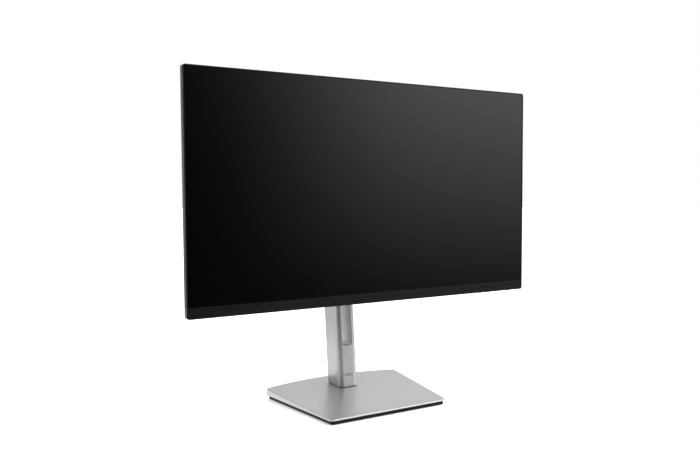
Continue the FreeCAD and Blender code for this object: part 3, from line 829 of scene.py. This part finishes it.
@dataclass
class Keys:
    """The power key and the menu keys under the strip."""

    bodies: dict[str, str] = field(default_factory=lambda: {
        "power_button": "power_key", "menu_key_1": "menu_key_a", "menu_key_2": "menu_key_b",
        "menu_key_3": "menu_key_c", "menu_key_4": "menu_key_d",
    })

    def build(self) -> None:
        """Round and dress the keys."""
        for node, body in self.bodies.items():
            Rounded(node, body, "key_plastic", KEY_PLASTIC, 0.25 * MM).build()
        LOG.info("keys: %d", len(self.bodies))


@dataclass
class Hinges:
    """The stand plate, the pivot, the tilt yoke and the lift carriage."""

    steel: tuple[str, ...] = (
        "stand_plate", "pivot_shaft", "pivot_nut", "tilt_yoke", "tilt_shaft", "tilt_nuts",
        "lift_carriage", "lift_rail", "swivel_spindle", "swivel_retainer", "column_screws",
        "bearing_plate", "base_screws",
    )
    springs: tuple[str, ...] = ("tilt_springs", "spring_spool", "spring_strip")
    acetal: tuple[str, ...] = ("pivot_washers", "carriage_pads", "swivel_washers")

    def build(self) -> None:
        """Dress the hinges."""
        groups = ((self.steel, STEEL), (self.springs, SPRING_STEEL), (self.acetal, ACETAL))
        for nodes, finish in groups:
            for node in nodes:
                dress(node, finish)
        Rounded("hinge_cover", "yoke", "silver_plastic", SILVER, 0.6 * MM, 3).build()
        LOG.info("hinges: steel, springs, washers and cover")


@dataclass
class Column:
    """The leaning silver column, with a row of small bars as its mark."""

    slope: float = 0.097
    foot: Triple = (0.0, 53.5 * MM, 17.827 * MM)
    half_depth: float = 24.5 * MM
    mark_height: float = 15.0 * MM
    mark_bars: int = 4
    bar_width: float = 2.7 * MM
    bar_pitch: float = 4.0 * MM
    bar_height: float = 4.4 * MM
    bar_relief: float = 0.04 * MM
    bar_root: float = 0.3 * MM
    bar_rounding: float = 0.015 * MM

    def build(self) -> None:
        """Round and dress the column, then put the mark on."""
        Rounded("column_shell", "column", "silver_paint", SILVER, 0.45 * MM, 3).build()
        Rounded("column_back", "column", "silver_plastic", SILVER, 0.45 * MM, 3).build()
        dress("column_cap", SILVER)
        self._mark()
        LOG.info("column: shell, back, cap and mark")

    def _mark(self) -> None:
        """Four small upright bars, low on the front."""
        shape = Shape()
        start = -((self.mark_bars - 1) * self.bar_pitch + self.bar_width) / 2
        for i in range(self.mark_bars):
            left = start + i * self.bar_pitch
            shape.block((left, -self.half_depth - self.bar_relief, self.mark_height),
                        (left + self.bar_width, -self.half_depth + self.bar_root,
                         self.mark_height + self.bar_height))
        leaning = Matrix.Rotation(-math.atan(self.slope), 4, "X")
        shape.soften(self.bar_rounding, 1).move(Matrix.Translation(self.foot) @ leaning)
        shape.piece("column_mark", MARK_GREY, Place("column", "silver_paint"))


@dataclass
class Base:
    """The low base: silver cover, black plate and rubber feet."""

    def build(self) -> None:
        """Round and dress the base."""
        Rounded("base_cover", "base", "silver_plastic", SILVER, 0.35 * MM, 3).build()
        Rounded("base_plate", "base", "black_paint", POWDER_BLACK, 0.4 * MM, 2).build()
        Rounded("base_feet", "base", "rubber", RUBBER, 0.25 * MM, 2).build()
        LOG.info("base: cover, plate and feet")


# ------------------------------------------------------------------ studio
@dataclass
class Studio:
    """The pale floor, the soft lights, the sky and the camera."""

    eye: Triple = (-0.6370, -1.1849, 0.3649)
    yaw: float = 35.34
    pitch: float = 3.476
    roll: float = 0.15
    lens: float = 40.82
    shift: tuple[float, float] = (-0.1499, 0.0004)
    sensor: float = 36.0
    far: float = 50.0
    floor_radius: float = 12.0
    floor_glow: float = 0.25
    table_radius: float = 0.58
    table_height: float = -0.2 * MM
    table_glow: float = 1.1
    sheet_white: float = 0.9
    sheet_roughness: float = 0.9
    sheet_segments: int = 96
    studio_light: float = 1.5
    least_light: float = 0.015
    softbox: float = 3.1
    lens_side: Triple = (-0.375, -0.927, 0.0)
    lens_side_fade: Span = (0.55, 0.765)
    softbox_side: Triple = (0.64, -0.77, 0.0)
    softbox_fade: Span = (0.2, 0.6)
    softbox_rise: Span = (-0.20, 0.30)
    back_side: Triple = (0.0, 1.0, 0.0)
    back_fade: Span = (0.3, 0.85)
    back_light: float = 0.80

    def build(self) -> None:
        """Set up the studio."""
        self._camera()
        self._floor()
        self._sky()
        bpy.context.scene.view_settings.view_transform = "Standard"
        LOG.info("studio: camera, floor and sky")

    def _camera(self) -> None:
        """Put the camera in front of the object's left side."""
        data = bpy.data.cameras.new("camera")
        data.lens = self.lens
        data.sensor_width = self.sensor
        data.shift_x, data.shift_y = self.shift
        data.clip_end = self.far
        camera = bpy.data.objects.new("camera", data)
        aim = Matrix.Rotation(math.radians(-self.yaw), 4, "Z")
        aim @= Matrix.Rotation(math.radians(90.0 - self.pitch), 4, "X")
        aim @= Matrix.Rotation(math.radians(self.roll), 4, "Z")
        camera.matrix_world = Matrix.Translation(self.eye) @ aim
        bpy.context.scene.collection.objects.link(camera)
        bpy.context.scene.camera = camera

    def _sheet(self, name: str, radius: float, height: float, glow: float) -> bpy.types.Object:
        """Lay out a round white sheet.

        Args:
            name: Its name.
            radius: Its radius.
            height: How high it lies.
            glow: How brightly it glows by itself.

        Returns:
            The sheet.
        """
        mesh = bpy.data.meshes.new(name)
        shape = bmesh.new()
        bmesh.ops.create_circle(shape, cap_ends=True, segments=self.sheet_segments, radius=radius,
                                matrix=Matrix.Translation((0.0, 0.0, height)))
        shape.to_mesh(mesh)
        shape.free()
        sheet = bpy.data.objects.new(name, mesh)
        bpy.context.scene.collection.objects.link(sheet)
        paint = bpy.data.materials.new(name + "_paint")
        paint.use_nodes = True
        recipe = Recipe(paint.node_tree)
        white = (self.sheet_white, self.sheet_white, self.sheet_white, 1.0)
        shader = recipe.node("ShaderNodeBsdfPrincipled", sockets={
            "Base Color": white, "Roughness": self.sheet_roughness, "Specular IOR Level": 0.0,
            "Emission Color": (1.0, 1.0, 1.0, 1.0), "Emission Strength": glow})
        recipe.node("ShaderNodeOutputMaterial", sockets={"Surface": shader})
        mesh.materials.append(paint)
        return sheet

    def _floor(self) -> None:
        """A wide floor that gloss doesn't pick up, and a small table top that only gloss does."""
        floor = self._sheet("floor", self.floor_radius, 0.0, self.floor_glow)
        floor.visible_glossy = False
        table = self._sheet("table_top", self.table_radius, self.table_height, self.table_glow)
        table.visible_camera = False
        table.visible_diffuse = False
        table.visible_shadow = False

    def _sky(self) -> None:
        """A white surround for the lens, and a studio for everything else.

        The studio is dark on the camera's side, bright at the sides and a little dimmer straight
        behind the object. At the front right its light grows from nothing near the floor to a
        softbox overhead.
        """
        world = bpy.data.worlds.new("surround")
        world.use_nodes = True
        bpy.context.scene.world = world
        recipe = Recipe(world.node_tree)
        ray = recipe.node("ShaderNodeTexCoord", output="Generated")
        up = recipe.node("ShaderNodeSeparateXYZ", sockets={0: ray}, output="Z")
        sides = recipe.along(ray, self.lens_side).ramp(*self.lens_side_fade, 1.0, 0.0)
        front_right = recipe.along(ray, self.softbox_side).ramp(*self.softbox_fade)
        softbox = up.ramp(*self.softbox_rise) * self.softbox - 1.0
        behind = recipe.along(ray, self.back_side).ramp(*self.back_fade, 1.0, self.back_light)
        boost = front_right * softbox + 1.0
        light = sides * behind * boost * self.studio_light + self.least_light
        seen = recipe.node("ShaderNodeLightPath", output="Is Camera Ray")
        sky = recipe.node("ShaderNodeBackground", sockets={
            "Color": (1.0, 1.0, 1.0, 1.0), "Strength": light * (1.0 - seen) + seen})
        recipe.node("ShaderNodeOutputWorld", sockets={"Surface": sky})


def main() -> None:
    """Build and dress every sub-assembly in order, then the studio."""
    logging.basicConfig(level=logging.INFO, format="%(name)s: %(message)s")
    assemblies = (InnerPanel(), HeadFront(), Electronics(), RearShell(), Keys(), Hinges(),
                  Column(), Base())
    for assembly in assemblies:
        assembly.build()
    Studio().build()


if __name__ == "__main__":
    main()
